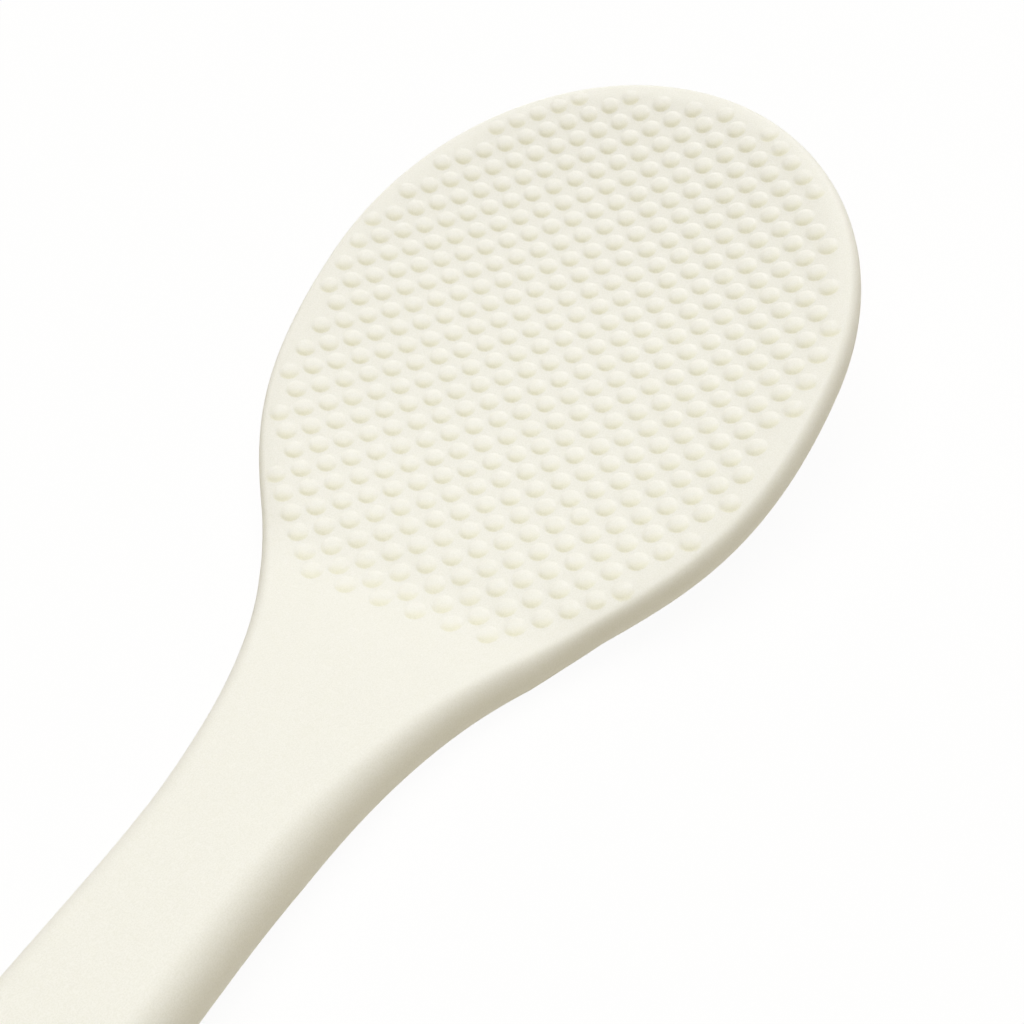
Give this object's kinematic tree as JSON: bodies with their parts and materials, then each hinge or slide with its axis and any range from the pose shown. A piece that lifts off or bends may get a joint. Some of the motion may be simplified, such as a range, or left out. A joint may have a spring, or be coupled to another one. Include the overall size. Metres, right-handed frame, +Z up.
{
  "type": "rice paddle",
  "caption": "Serving paddle for rice with an egg-shaped, shallowly dished and dotted blade, a raised handle, and soft skins over a stiff core.",
  "frame": {"origin": "under the middle of the paddle's length and width, on the surface that its heel rests on", "axes": "+X from the handle's end to the blade's tip, +Y to the left, +Z up out of the dotted face"},
  "size_m": [0.213, 0.0672, 0.0226],
  "materials": {
    "cream_silicone": "satin, with a fine grain",
    "core_nylon": "matte, hidden"
  },
  "bodies": {
    "root": {"rigid_core": "core_nylon", "upper_skin": "cream_silicone", "lower_skin": "cream_silicone"}
  },
  "joints": []
}
